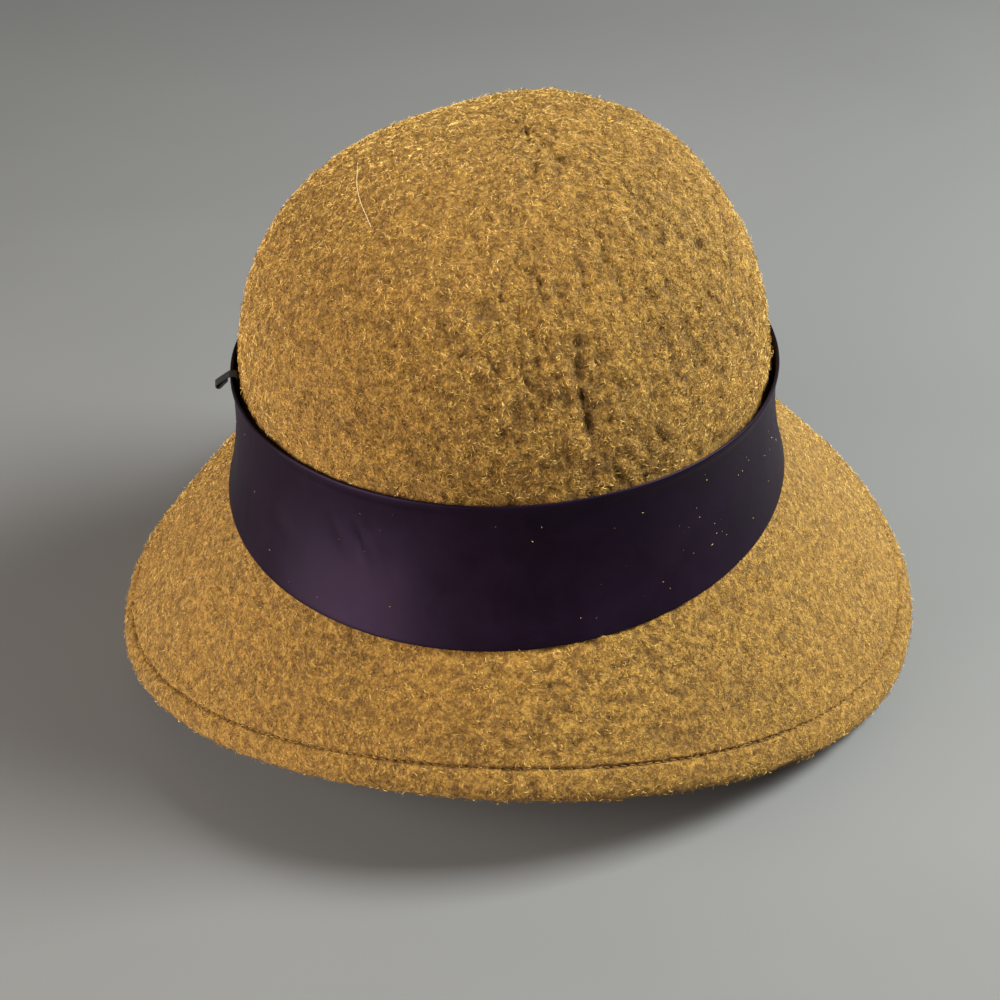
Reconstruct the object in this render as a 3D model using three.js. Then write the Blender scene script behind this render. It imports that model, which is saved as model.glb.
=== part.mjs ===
// A felt cloche hat in three pieces: a blocked felt body whose crown and brim are one wall with the
// brim's edge turned under and stitched, a satin band round the foot of the crown, and a small folded
// ribbon loop hooked over the band's upper edge on the wearer's left.
// Millimetres, +Z up, -Y the front and +X the wearer's left. The hat rests on the two sides of its brim
// at z = 0, where the felt is pressed flat, and the brim arches clear of the floor at front and back.
import * as THREE from 'three';

// Driving dimensions
const feltWall = 2.6;
const pieceGap = 0.3;
const facetsRound = 64;
const headCentreY = 14.5;
const crown = {
  footHalfWidth: 91.2,
  footHalfLength: 101.7,
  footHeight: 66,
  footFlare: 1.8,
  waistHalfWidth: 84.8,
  waistHalfLength: 90.2,
  waistHeight: 107,
  waistBackRise: 3.3,
  waistForward: 1.8,
  topHeight: 188,
  topLean: -8,
  roundness: 2.2,
  squareness: 2,
};
const brim = { upwardBulge: 1.2, restHeight: 0.7 };
const hem = { width: 9.5, widthSwing: 1.2, widestAngle: 2.8, rollDepth: 5.4 };
const band = { wall: 0.7, foldWall: 0.3, foldHeight: 0.06, backStandOff: 0.4, sideStandOff: 2.6 };
const loop = {
  ribbon: 0.6,
  width: 3.4,
  angle: 0.29,
  tailLength: 8,
  reach: 4.6,
  droop: 4.4,
  fold: 2.2,
  underLayer: 2.6,
  bendChamfer: 0.3,
};

// How far the brim's edge stands out from the crown's foot and how high it arches off the floor, past an
// arc that lies on the floor, given as a share of the way from the side to the front or back
const brimPlaces = {
  front: { out: 54.6, lift: 14.2, restArc: 0.4, archPower: 1.3 },
  side: { out: 47.2, lift: 0, restArc: 0, archPower: 1 },
  back: { out: 25.6, lift: 28.8, restArc: 0.1, archPower: 1.3 },
};

// Broad hollows of the soft crown, a negative depth being a swelling
const crownHollows = [
  { place: 'left of the top', x: 26, y: -22, z: 177, radius: 28, depth: 2.6 },
  { place: 'left shoulder', x: 70, y: 20, z: 148, radius: 26, depth: -1 },
  { place: 'back right wall', x: -26, y: 98, z: 126, radius: 22, depth: 0.9 },
];

// The turned edge in section: how far in from the edge in parts of the hem's width, then in millimetres,
// and how far above the brim's upper face
const hemSection = [
  { at: 'brim before the seam', hems: 1, extra: 3.2, above: 0 },
  { at: 'upper lip of the seam', hems: 1, extra: 0.9, above: 0.05 },
  { at: 'stitched groove', hems: 1, extra: 0, above: -0.8 },
  { at: 'outer lip of the seam', hems: 1, extra: -0.9, above: 0.25 },
  { at: 'crest of the hem', hems: 0.5, extra: 0, above: 0.55 },
  { at: 'shoulder of the roll', hems: 0, extra: 2.2, above: 0.1 },
  { at: 'upper roll', hems: 0, extra: 0.6, above: -1.2 },
  { at: 'edge of the roll', hems: 0, extra: 0, above: -2.8 },
  { at: 'lower roll', hems: 0, extra: 0.7, above: -4.4 },
  { at: 'turn of the roll', hems: 0, extra: 2.4, above: -hem.rollDepth },
  { at: 'underside of the hem', hems: 0.6, extra: 0, above: -hem.rollDepth },
  { at: 'cut edge of the hem', hems: 1, extra: 0.6, above: -hem.rollDepth + 0.1 },
  { at: 'root of the cut edge', hems: 1, extra: 1.2, above: -feltWall },
];

// How finely the felt is faceted from its top down, on the upper face and on the face inside
const feltSpans = [
  { span: 'dome', from: 0.14, to: 1, upperSteps: 11, lowerSteps: 8 },
  { span: 'wall under the band', from: 1.2, to: 2, upperSteps: 4, lowerSteps: 3 },
  { span: 'brim', from: 2.16, to: 2.62, upperSteps: 3, lowerSteps: 1 },
];

const fullTurn = Math.PI * 2;

function ovalPoint(halfWidth, halfLength, angle, height) {
  const y = headCentreY + halfLength * Math.sin(angle);
  return new THREE.Vector3(halfWidth * Math.cos(angle), y, height);
}

// Fall runs from 0 at the crown's top to 1 at its waist, where the band's upper edge lies
function domePoint(angle, fall) {
  const climb = (1 - fall) * Math.PI / 2;
  const spread = Math.pow(Math.max(Math.cos(climb), 0), 2 / crown.roundness);
  const rise = Math.pow(Math.sin(climb), 2 / crown.squareness);
  const waistTilt = crown.waistBackRise * Math.sin(angle) * (1 - rise);
  const height = crown.waistHeight + waistTilt + (crown.topHeight - crown.waistHeight) * rise;
  const point = ovalPoint(crown.waistHalfWidth * spread, crown.waistHalfLength * spread, angle, height);
  point.x += crown.topLean * Math.pow(rise, 3);
  point.y -= crown.waistForward;
  return point;
}

// Fall runs from 0 at the waist to 1 at the foot, where the crown turns out into the brim
function wallPoint(angle, fall) {
  const flare = Math.pow(fall, crown.footFlare);
  const halfWidth = THREE.MathUtils.lerp(crown.waistHalfWidth, crown.footHalfWidth, flare);
  const halfLength = THREE.MathUtils.lerp(crown.waistHalfLength, crown.footHalfLength, flare);
  const waist = crown.waistHeight + crown.waistBackRise * Math.sin(angle);
  const height = THREE.MathUtils.lerp(waist, crown.footHeight, fall);
  const point = ovalPoint(halfWidth, halfLength, angle, height);
  point.y -= crown.waistForward * (1 - flare);
  return point;
}

function brimReach(angle) {
  const { front, side, back } = brimPlaces;
  const along = Math.sin(angle);
  const slant = (back.out - front.out) / 2;
  const pinch = (back.out + front.out) / 2 - side.out;
  return side.out + slant * along + pinch * along * along;
}

function brimLift(angle) {
  const along = Math.sin(angle);
  const end = along > 0 ? brimPlaces.back : brimPlaces.front;
  const pastRest = Math.max(0, (Math.abs(along) - end.restArc) / (1 - end.restArc));
  return end.lift * Math.pow(pastRest, end.archPower);
}

function brimEdge(angle) {
  const foot = wallPoint(angle, 1);
  const outward = new THREE.Vector3(
    Math.cos(angle) / crown.footHalfWidth, Math.sin(angle) / crown.footHalfLength, 0).normalize();
  const edge = foot.addScaledVector(outward, brimReach(angle));
  edge.z = brim.restHeight + brimLift(angle);
  return edge;
}

// Directions along the brim at an angle: down its slope and up out of its face
function brimSlope(angle) {
  const step = 0.01;
  const foot = wallPoint(angle, 1);
  const edge = brimEdge(angle);
  const slope = edge.clone().sub(foot);
  const length = slope.length();
  slope.normalize();
  const round = brimEdge(angle + step).sub(brimEdge(angle - step)).normalize();
  const upward = slope.clone().cross(round).normalize();
  return { foot, edge, slope, upward, length };
}

function brimBulge(fall) {
  return brim.upwardBulge * 4 * fall * (1 - fall);
}

function brimPoint(angle, fall) {
  const { foot, edge, upward } = brimSlope(angle);
  return foot.lerp(edge, fall).addScaledVector(upward, brimBulge(fall));
}

// The upper face of the felt: fall 0 to 1 is the dome, 1 to 2 the wall, 2 to 3 the brim
function feltFace(angle, fall) {
  let point = brimPoint(angle, Math.max(fall - 2, 0));
  if (fall <= 1) point = domePoint(angle, fall);
  else if (fall <= 2) point = wallPoint(angle, fall - 1);
  const middle = new THREE.Vector3(0, headCentreY, crown.footHeight);
  const outward = point.clone().sub(middle).normalize();
  for (const hollow of crownHollows) {
    const distance = point.distanceTo(new THREE.Vector3(hollow.x, hollow.y, hollow.z));
    const share = Math.exp(-Math.pow(distance / hollow.radius, 2));
    point.addScaledVector(outward, -hollow.depth * share);
  }
  return point;
}

function feltNormal(angle, fall) {
  if (fall <= 0) return new THREE.Vector3(0, 0, 1);
  const step = 0.004;
  const round = feltFace(angle + step, fall).sub(feltFace(angle - step, fall));
  const down = feltFace(angle, fall + step).sub(feltFace(angle, fall - step));
  return down.cross(round).normalize();
}

function feltPoint(angle, fall, depth) {
  return feltFace(angle, fall).addScaledVector(feltNormal(angle, fall), -depth);
}

function hemWidth(angle) {
  return hem.width + hem.widthSwing * Math.cos(angle - hem.widestAngle);
}

// A point of the turned edge, pressed flat where the hat rests on it
function hemPoint(angle, row) {
  const { edge, slope, upward, length } = brimSlope(angle);
  const inward = row.hems * hemWidth(angle) + row.extra;
  const above = row.above + brimBulge(1 - inward / length);
  const point = edge.addScaledVector(slope, -inward).addScaledVector(upward, above);
  point.z = Math.max(point.z, 0);
  return point;
}

function makeRing(pointAt) {
  const ring = [];
  for (let i = 0; i < facetsRound; i++) ring.push(pointAt(i / facetsRound * fullTurn));
  return ring;
}

// A closed skin over a stack of rings, each ring turning anticlockwise seen from above. Poles close the
// first and the last ring, and without poles the last ring joins the first.
function skinRings(rings, poles) {
  const vertices = rings.flat();
  const faces = [];
  const count = facetsRound;
  const joins = poles ? rings.length - 1 : rings.length;
  for (let r = 0; r < joins; r++) {
    const upper = r * count;
    const lower = (r + 1) % rings.length * count;
    for (let i = 0; i < count; i++) {
      const next = (i + 1) % count;
      faces.push(upper + i, lower + i, lower + next, upper + i, lower + next, upper + next);
    }
  }
  if (poles) {
    const first = vertices.push(poles.first) - 1;
    const last = vertices.push(poles.last) - 1;
    const lastRing = (rings.length - 1) * count;
    for (let i = 0; i < count; i++) {
      const next = (i + 1) % count;
      faces.push(first, i, next);
      faces.push(last, lastRing + next, lastRing + i);
    }
  }
  const geometry = new THREE.BufferGeometry().setFromPoints(vertices);
  geometry.setIndex(faces);
  geometry.computeVertexNormals();
  return geometry;
}

function spread(from, to, steps) {
  const stations = [];
  for (let i = 0; i <= steps; i++) stations.push(THREE.MathUtils.lerp(from, to, i / steps));
  return stations;
}

function makeFeltBody() {
  const nearTop = 0.06;
  const upperFalls = feltSpans.flatMap((span) => spread(span.from, span.to, span.upperSteps));
  const lowerFalls = feltSpans.toReversed().flatMap((span) => spread(span.to, span.from, span.lowerSteps));
  upperFalls.unshift(nearTop);
  lowerFalls.push(nearTop);
  const rings = upperFalls.map((fall) => makeRing((angle) => feltPoint(angle, fall, 0)));
  for (const row of hemSection) rings.push(makeRing((angle) => hemPoint(angle, row)));
  for (const fall of lowerFalls) rings.push(makeRing((angle) => feltPoint(angle, fall, feltWall)));
  return skinRings(rings, { first: feltPoint(0, 0, 0), last: feltPoint(0, 0, feltWall) });
}

// The band's gap to the felt grows from the foot to the upper edge, most at the two sides
function bandStandOff(angle, climb) {
  const sideShare = Math.pow(Math.cos(angle), 2);
  const atTop = THREE.MathUtils.lerp(band.backStandOff, band.sideStandOff, sideShare);
  return pieceGap + atTop * climb * climb;
}

// Climb runs from 0 at the band's lower edge to 1 at its upper edge
function bandPoint(angle, climb, layers) {
  const face = feltFace(angle, 2 - climb);
  const outward = feltNormal(angle, 2 - climb);
  outward.z = 0;
  return face.addScaledVector(outward.normalize(), bandStandOff(angle, climb) + layers);
}

function makeBand() {
  const stations = [0, 0.35, 0.7];
  const foldFoot = 1 - band.foldHeight;
  const foldStep = 0.02;
  const folded = band.wall + band.foldWall;
  const section = [
    ...stations.map((climb) => ({ climb, layers: 0 })),
    { climb: 1, layers: 0 },
    { climb: 1, layers: folded },
    { climb: foldFoot, layers: folded },
    { climb: foldFoot - foldStep, layers: band.wall },
    ...stations.reverse().map((climb) => ({ climb, layers: band.wall })),
  ];
  return skinRings(section.map((row) => makeRing((angle) => bandPoint(angle, row.climb, row.layers))));
}

// The loop in section, x outward from the felt and y up from the band's upper edge: a tail behind the
// band, a bend over its edge and two layers joined by a round fold at the drooping tip
function makeRibbonLoop() {
  const bandInside = bandStandOff(loop.angle, 1);
  const bandOutside = bandInside + band.wall + band.foldWall;
  const tailIn = (bandInside - loop.ribbon) / 2;
  const tailOut = tailIn + loop.ribbon;
  const underBend = pieceGap;
  const overBend = underBend + loop.ribbon;
  const outerRadius = loop.fold / 2;
  const innerRadius = outerRadius - loop.ribbon;
  const slant = new THREE.Vector2(loop.reach, -loop.droop).normalize();
  const across = new THREE.Vector2(-slant.y, slant.x);
  const lean = Math.atan2(across.y, across.x);
  const tip = new THREE.Vector2(bandOutside + loop.reach, overBend - loop.droop);
  const foldMiddle = tip.addScaledVector(slant, -outerRadius);
  const underEnd = foldMiddle.clone().addScaledVector(slant, -loop.underLayer);
  const upperInner = foldMiddle.clone().addScaledVector(across, innerRadius);
  const lowerInner = underEnd.clone().addScaledVector(across, -innerRadius);
  const lowerOuter = underEnd.clone().addScaledVector(across, -outerRadius);
  const shape = new THREE.Shape();
  shape.moveTo(tailIn, -loop.tailLength);
  shape.lineTo(tailOut, -loop.tailLength);
  shape.lineTo(tailOut, underBend);
  shape.lineTo(bandOutside, underBend);
  shape.lineTo(upperInner.x, upperInner.y);
  shape.absarc(foldMiddle.x, foldMiddle.y, innerRadius, lean, lean - Math.PI, true);
  shape.lineTo(lowerInner.x, lowerInner.y);
  shape.lineTo(lowerOuter.x, lowerOuter.y);
  shape.absarc(foldMiddle.x, foldMiddle.y, outerRadius, lean - Math.PI, lean, false);
  shape.lineTo(bandOutside, overBend);
  shape.lineTo(tailIn + loop.bendChamfer, overBend);
  shape.lineTo(tailIn, overBend - loop.bendChamfer);
  shape.closePath();
  const settings = { depth: loop.width, bevelEnabled: false, curveSegments: 8 };
  return new THREE.ExtrudeGeometry(shape, settings).translate(0, 0, -loop.width / 2);
}

// Turns the loop's section out from the felt at the crown's waist
function placeRibbonLoop(mesh) {
  const outward = feltNormal(loop.angle, 1);
  outward.z = 0;
  outward.normalize();
  const upward = new THREE.Vector3(0, 0, 1);
  const along = outward.clone().cross(upward);
  mesh.quaternion.setFromRotationMatrix(new THREE.Matrix4().makeBasis(outward, upward, along));
  mesh.position.copy(feltFace(loop.angle, 1));
}

const feltCloth = new THREE.MeshStandardMaterial({ color: 0xa87a2a, roughness: 0.95, metalness: 0 });
const satin = new THREE.MeshStandardMaterial({ color: 0x2a1b36, roughness: 0.45, metalness: 0 });
const blackRibbon = new THREE.MeshStandardMaterial({ color: 0x171619, roughness: 0.6, metalness: 0 });

function namedMesh(name, geometry, material) {
  const mesh = new THREE.Mesh(geometry, material);
  mesh.name = name;
  return mesh;
}

const feltBody = namedMesh('felt_body', makeFeltBody(), feltCloth);
const hatBand = namedMesh('hat_band', makeBand(), satin);
const ribbonLoop = namedMesh('ribbon_loop', makeRibbonLoop(), blackRibbon);
placeRibbonLoop(ribbonLoop);

const hat = new THREE.Group();
const trim = new THREE.Group();
trim.add(hatBand, ribbonLoop);
hat.add(feltBody, trim);

export default hat;
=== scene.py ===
import math

import bpy
import numpy as np
from mathutils import Matrix, Vector, noise


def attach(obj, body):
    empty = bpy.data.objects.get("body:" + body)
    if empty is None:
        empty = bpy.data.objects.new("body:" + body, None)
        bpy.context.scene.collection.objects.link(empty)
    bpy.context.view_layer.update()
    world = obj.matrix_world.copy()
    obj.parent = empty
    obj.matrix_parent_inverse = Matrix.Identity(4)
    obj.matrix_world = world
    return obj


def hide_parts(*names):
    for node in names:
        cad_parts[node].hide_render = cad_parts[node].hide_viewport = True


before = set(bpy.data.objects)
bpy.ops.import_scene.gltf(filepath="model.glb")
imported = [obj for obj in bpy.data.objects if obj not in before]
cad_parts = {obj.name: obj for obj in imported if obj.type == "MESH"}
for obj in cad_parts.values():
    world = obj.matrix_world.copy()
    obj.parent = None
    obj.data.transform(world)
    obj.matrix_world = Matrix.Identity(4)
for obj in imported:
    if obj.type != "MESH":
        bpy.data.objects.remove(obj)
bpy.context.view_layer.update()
print("frame loaded:", ", ".join(sorted(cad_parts)))

# The block that the felt is pulled over, in metres. Angle 0 is the wearer's left, a quarter turn the back.
hatForm = {
    "headCentreY": 0.0145,
    "feltWall": 0.0026,
    "footHalfWidth": 0.0912,
    "footHalfLength": 0.1017,
    "footHeight": 0.066,
    "footFlare": 1.8,
    "waistHalfWidth": 0.0848,
    "waistHalfLength": 0.0902,
    "waistHeight": 0.107,
    "waistBackRise": 0.0033,
    "waistForward": 0.0018,
    "topHeight": 0.188,
    "topLean": -0.008,
    "roundness": 2.2,
    "brimBulge": 0.0012,
    "restHeight": 0.0007,
    "archPower": 1.3,
}

# How far the brim's edge stands out from the crown's foot,
# and how it arches off the floor past the arc it rests on
brimPlaces = {
    "front": {"out": 0.0546, "lift": 0.0142, "restArc": 0.4},
    "side": {"out": 0.0472},
    "back": {"out": 0.0256, "lift": 0.0288, "restArc": 0.1},
}

# Broad hollows of the soft crown, a negative depth being a swelling
crownHollows = [
    {"place": (0.026, -0.022, 0.177), "radius": 0.028, "depth": 0.0026},
    {"place": (0.070, 0.020, 0.148), "radius": 0.026, "depth": -0.001},
    {"place": (-0.026, 0.098, 0.126), "radius": 0.022, "depth": 0.0009},
]


def mix(low, high, share):
    return low + (high - low) * share


def easeStep(low, high, value):
    share = np.clip((value - low) / (high - low), 0, 1)
    return share * share * (3 - 2 * share)


def unit(vectors):
    return vectors / np.maximum(np.linalg.norm(vectors, axis=-1, keepdims=True), 1e-12)


def ovalPoints(halfWidth, halfLength, angle, height):
    y = hatForm["headCentreY"] + halfLength * np.sin(angle)
    return np.stack([halfWidth * np.cos(angle), y, height + 0 * angle], axis=-1)


# Fall runs from 0 at the top to 1 at the waist, where the band's upper edge lies
def domePoints(angle, fall):
    climb = (1 - fall) * np.pi / 2
    spread = np.cos(climb).clip(0) ** (2 / hatForm["roundness"])
    rise = np.sin(climb)
    tilt = hatForm["waistBackRise"] * np.sin(angle) * (1 - rise)
    height = tilt + mix(hatForm["waistHeight"], hatForm["topHeight"], rise)
    halfWidth = hatForm["waistHalfWidth"] * spread
    halfLength = hatForm["waistHalfLength"] * spread
    points = ovalPoints(halfWidth, halfLength, angle, height)
    points[..., 0] += hatForm["topLean"] * rise ** 3
    points[..., 1] -= hatForm["waistForward"]
    return points


# Fall runs from 0 at the waist to 1 at the foot, where the crown turns out into the brim
def wallPoints(angle, fall):
    flare = fall ** hatForm["footFlare"]
    halfWidth = mix(hatForm["waistHalfWidth"], hatForm["footHalfWidth"], flare)
    halfLength = mix(hatForm["waistHalfLength"], hatForm["footHalfLength"], flare)
    waist = hatForm["waistHeight"] + hatForm["waistBackRise"] * np.sin(angle)
    points = ovalPoints(halfWidth, halfLength, angle, mix(waist, hatForm["footHeight"], fall))
    points[..., 1] -= hatForm["waistForward"] * (1 - flare)
    return points


def brimEdge(angle):
    front, side, back = (brimPlaces[place] for place in ("front", "side", "back"))
    along = np.sin(angle)
    slant = (back["out"] - front["out"]) / 2
    pinch = (back["out"] + front["out"]) / 2 - side["out"]
    reach = side["out"] + slant * along + pinch * along ** 2
    lift = np.where(along > 0, back["lift"], front["lift"])
    restArc = np.where(along > 0, back["restArc"], front["restArc"])
    arch = ((np.abs(along) - restArc) / (1 - restArc)).clip(0) ** hatForm["archPower"]
    outward = np.stack(
        [np.cos(angle) / hatForm["footHalfWidth"], along / hatForm["footHalfLength"], 0 * angle], axis=-1)
    edge = wallPoints(angle, 1 + 0 * angle) + unit(outward) * reach[..., None]
    edge[..., 2] = hatForm["restHeight"] + lift * arch
    return edge


# Directions along the brim: down its slope and up out of its face
def brimSlope(angle):
    step = 0.01
    foot = wallPoints(angle, 1 + 0 * angle)
    edge = brimEdge(angle)
    slope = unit(edge - foot)
    upward = unit(np.cross(slope, brimEdge(angle + step) - brimEdge(angle - step)))
    return foot, edge, slope, upward


def brimBulge(fall):
    return hatForm["brimBulge"] * 4 * fall * (1 - fall)


def brimPoints(angle, fall):
    foot, edge, slope, upward = brimSlope(angle)
    return mix(foot, edge, fall[..., None]) + upward * brimBulge(fall)[..., None]


# The felt's upper face: fall 0 to 1 is the dome, 1 to 2 the wall, 2 to 3 the brim
def feltFace(angle, fall):
    angle, fall = np.broadcast_arrays(np.asarray(angle, float), np.asarray(fall, float))
    dome = domePoints(angle, fall.clip(0, 1))
    wall = wallPoints(angle, (fall - 1).clip(0, 1))
    brim = brimPoints(angle, (fall - 2).clip(0, 1))
    points = np.where((fall <= 1)[..., None], dome, np.where((fall <= 2)[..., None], wall, brim))
    middle = np.array([0, hatForm["headCentreY"], hatForm["footHeight"]])
    outward = unit(points - middle)
    for hollow in crownHollows:
        away = np.linalg.norm(points - np.array(hollow["place"]), axis=-1)
        share = np.exp(-(away / hollow["radius"]) ** 2)
        points = points - outward * (hollow["depth"] * share)[..., None]
    return points


def feltNormal(angle, fall):
    step = 0.004
    around = feltFace(angle + step, fall) - feltFace(angle - step, fall)
    down = feltFace(angle, fall + step) - feltFace(angle, fall - step)
    return unit(np.cross(down, around))


# Brief helpers for the modelling itself
def clearSelection():
    if bpy.context.object and bpy.context.object.mode != "OBJECT":
        bpy.ops.object.mode_set(mode="OBJECT")
    bpy.ops.object.select_all(action="DESELECT")


def activePiece(name):
    piece = bpy.context.object
    piece.name = name
    piece.data.name = name
    return piece


def readPoints(piece):
    points = np.empty(len(piece.data.vertices) * 3)
    piece.data.vertices.foreach_get("co", points)
    return points.reshape(-1, 3)


def writePoints(piece, points):
    piece.data.vertices.foreach_set("co", np.ascontiguousarray(points, np.float32).ravel())
    piece.data.update()


def smoothPiece(piece):
    clearSelection()
    piece.select_set(True)
    bpy.context.view_layer.objects.active = piece
    bpy.ops.object.shade_smooth()


def applyModifier(piece, kind, **settings):
    clearSelection()
    piece.select_set(True)
    bpy.context.view_layer.objects.active = piece
    bpy.ops.object.modifier_add(type=kind)
    modifier = piece.modifiers[-1]
    for setting, value in settings.items():
        setattr(modifier, setting, value)
    bpy.ops.object.modifier_apply(modifier=modifier.name)


def joinedMesh(name, points, faces):
    mesh = bpy.data.meshes.new(name)
    mesh.from_pydata(points, [], faces)
    mesh.update()
    piece = bpy.data.objects.new(name, mesh)
    bpy.context.scene.collection.objects.link(piece)
    return piece


def noiseAt(places):
    values = [noise.noise(place) for place in places.reshape(-1, 3).tolist()]
    return np.array(values).reshape(places.shape[:-1])


# Node shorthand
def addNode(tree, kind, inputs=None, **settings):
    made = tree.nodes.new(kind)
    for setting, value in settings.items():
        setattr(made, setting, value)
    for socket, value in (inputs or {}).items():
        made.inputs[socket].default_value = value
    return made


def newMaterial(name, **sockets):
    material = bpy.data.materials.new(name)
    material.use_nodes = True
    shader = material.node_tree.nodes["Principled BSDF"]
    for socket, value in sockets.items():
        shader.inputs[socket].default_value = value
    return material, material.node_tree, shader


def blendColours(tree, share, first, second):
    made = addNode(tree, "ShaderNodeMix", data_type="RGBA")
    for index, value in ((0, share), (6, first), (7, second)):
        if isinstance(value, bpy.types.NodeSocket):
            tree.links.new(value, made.inputs[index])
        else:
            made.inputs[index].default_value = value
    return made.outputs[2]


def calculate(tree, operation, first, second, clamp=False):
    made = addNode(tree, "ShaderNodeMath", operation=operation, use_clamp=clamp)
    for index, value in enumerate((first, second)):
        if isinstance(value, bpy.types.NodeSocket):
            tree.links.new(value, made.inputs[index])
        else:
            made.inputs[index].default_value = value
    return made.outputs[0]


def rangeOf(tree, value, low, high, toLow=0.0, toHigh=1.0):
    made = addNode(tree, "ShaderNodeMapRange", {1: low, 2: high, 3: toLow, 4: toHigh})
    tree.links.new(value, made.inputs[0])
    return made.outputs[0]


# Felt body: a ball blocked down over the hat's form, with its lower half pushed up inside as the hollow
feltBody = {
    "columns": 400,
    "domeRows": 112,
    "wallRows": 8,
    "brimRows": 46,
    "hemRows": 38,
    "innerBrimRows": 8,
    "innerCrownRows": 20,
    "nearTop": 0.012,
    "hemWidth": 0.0095,
    "hemSwing": 0.0012,
    "hemWidest": 2.8,
    "seamWobble": 0.00035,
    "pebbleSize": 0.0036,
    "pebbleDepth": 0.0011,
    "grooveAcross": 0.0038,
    "grooveAlong": 0.0075,
    "grooveDepth": 0.0009,
    "foldAcross": 0.016,
    "foldAlong": 0.07,
    "foldDepth": 0.0007,
    "smoothShare": 0.3,
    "hemShare": 0.45,
    "insideShare": 0.3,
    "grooveSharpness": 3.4,
    "pitSize": 0.0072,
    "pitSpread": 0.011,
    "pitShare": 0.6,
    "seamShadow": 0.03,
}

# The turned edge in section: in from the edge in parts of the hem's width, then in metres, and above the face
hemSection = [
    {"hems": 1, "extra": 0.0032, "above": 0},
    {"hems": 1, "extra": 0.0012, "above": 0.0002},
    {"hems": 1, "extra": 0.0004, "above": -0.0004},
    {"hems": 1, "extra": 0, "above": -0.0012},
    {"hems": 1, "extra": -0.0004, "above": -0.0003},
    {"hems": 1, "extra": -0.0014, "above": 0.0005},
    {"hems": 0.5, "extra": 0, "above": 0.0007},
    {"hems": 0, "extra": 0.0024, "above": 0.0002},
    {"hems": 0, "extra": 0.0006, "above": -0.0012},
    {"hems": 0, "extra": 0, "above": -0.0028},
    {"hems": 0, "extra": 0.0007, "above": -0.0044},
    {"hems": 0, "extra": 0.0024, "above": -0.0054},
    {"hems": 0.6, "extra": 0, "above": -0.0054},
    {"hems": 1, "extra": 0.0004, "above": -0.0052},
    {"hems": 1, "extra": 0.0011, "above": -0.0041},
    {"hems": 1, "extra": 0.0018, "above": -0.0027},
]

# Creases that stand out, each running down from one fall to another and drifting round by its lean
longCreases = [
    {"angle": 2.03, "from": 0.60, "to": 0.71, "lean": -0.02, "width": 0.0015, "depth": 0.0018},
    {"angle": 2.045, "from": 0.72, "to": 0.86, "lean": 0.03, "width": 0.0015, "depth": 0.0018},
    {"angle": 2.15, "from": 0.91, "to": 1.03, "lean": 0.05, "width": 0.0014, "depth": 0.0008},
    {"angle": 1.83, "from": 0.66, "to": 0.80, "lean": -0.05, "width": 0.0018, "depth": 0.0005},
    {"angle": 2.42, "from": 0.52, "to": 0.66, "lean": 0.05, "width": 0.0013, "depth": 0.0007},
    {"angle": 2.55, "from": 0.62, "to": 0.80, "lean": 0.05, "width": 0.0013, "depth": 0.0007},
]


# The seam's share of the way through the hem's table, at the groove's bottom
seamPlace = 3 / (len(hemSection) - 1)


def hemWidthAt(angle):
    return feltBody["hemWidth"] + feltBody["hemSwing"] * np.cos(angle - feltBody["hemWidest"])


# The hem's section on a smooth curve through the rows of its table, share 0 at the seam and 1 underneath
def hemRow(share):
    table = np.array([[row["hems"], row["extra"], row["above"]] for row in hemSection])
    last = len(table) - 1
    place = share * last
    start = min(int(place), last - 1)
    step = place - start
    before, first, second, after = (table[min(max(start + i, 0), last)] for i in (-1, 0, 1, 2))
    curve = 2 * first + (second - before) * step
    curve = curve + (2 * before - 5 * first + 4 * second - after) * step ** 2
    curve = curve + (3 * first - before - 3 * second + after) * step ** 3
    return curve / 2


def seamWobble(angle):
    ring = np.stack([np.cos(angle) * 22, np.sin(angle) * 22, 0 * angle], axis=-1)
    return feltBody["seamWobble"] * noiseAt(ring)


def hemPoints(angle, share):
    foot, edge, slope, upward = brimSlope(angle)
    hems, extra, above = hemRow(share)
    inward = hems * (hemWidthAt(angle) + seamWobble(angle)) + extra
    length = np.linalg.norm(edge - foot, axis=-1)
    height = above + brimBulge(1 - inward / length)
    return edge - slope * inward[..., None] + upward * height[..., None]


# The brim's rows stop where the hem's first row lies, so they close up towards the narrow back
def brimFall(angle, share):
    foot, edge, slope, upward = brimSlope(angle)
    length = np.linalg.norm(edge - foot, axis=-1)
    margin = hemWidthAt(angle) + hemSection[0]["extra"] + 0.001
    return 2 + share * (1 - margin / length)


def feltGrid():
    sizes = feltBody
    angle = np.arange(sizes["columns"]) / sizes["columns"] * 2 * np.pi
    upperFalls = [np.full_like(angle, fall) for fall in np.linspace(sizes["nearTop"], 1, sizes["domeRows"])]
    upperFalls += [np.full_like(angle, 1 + (i + 1) / sizes["wallRows"]) for i in range(sizes["wallRows"])]
    brimShares = (np.arange(sizes["brimRows"]) + 1) / sizes["brimRows"]
    upperFalls += [brimFall(angle, share) for share in brimShares]
    innerFalls = [brimFall(angle, share) for share in np.linspace(0.97, 0.08, sizes["innerBrimRows"])]
    crownFalls = np.linspace(2, sizes["nearTop"], sizes["innerCrownRows"])
    innerFalls += [np.full_like(angle, fall) for fall in crownFalls]
    rows = [feltFace(angle, fall) for fall in upperFalls]
    rows += [hemPoints(angle, share) for share in np.linspace(0, 1, sizes["hemRows"])]
    rows += [feltFace(angle, fall) - feltNormal(angle, fall) * hatForm["feltWall"] for fall in innerFalls]
    hemFalls = [np.full_like(angle, 3)] * sizes["hemRows"]
    return angle, np.array(rows), np.array(upperFalls + hemFalls + innerFalls)


def gridNormals(rows):
    around = np.roll(rows, -1, axis=1) - np.roll(rows, 1, axis=1)
    down = np.gradient(rows, axis=0)
    return unit(np.cross(down, around))


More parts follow.
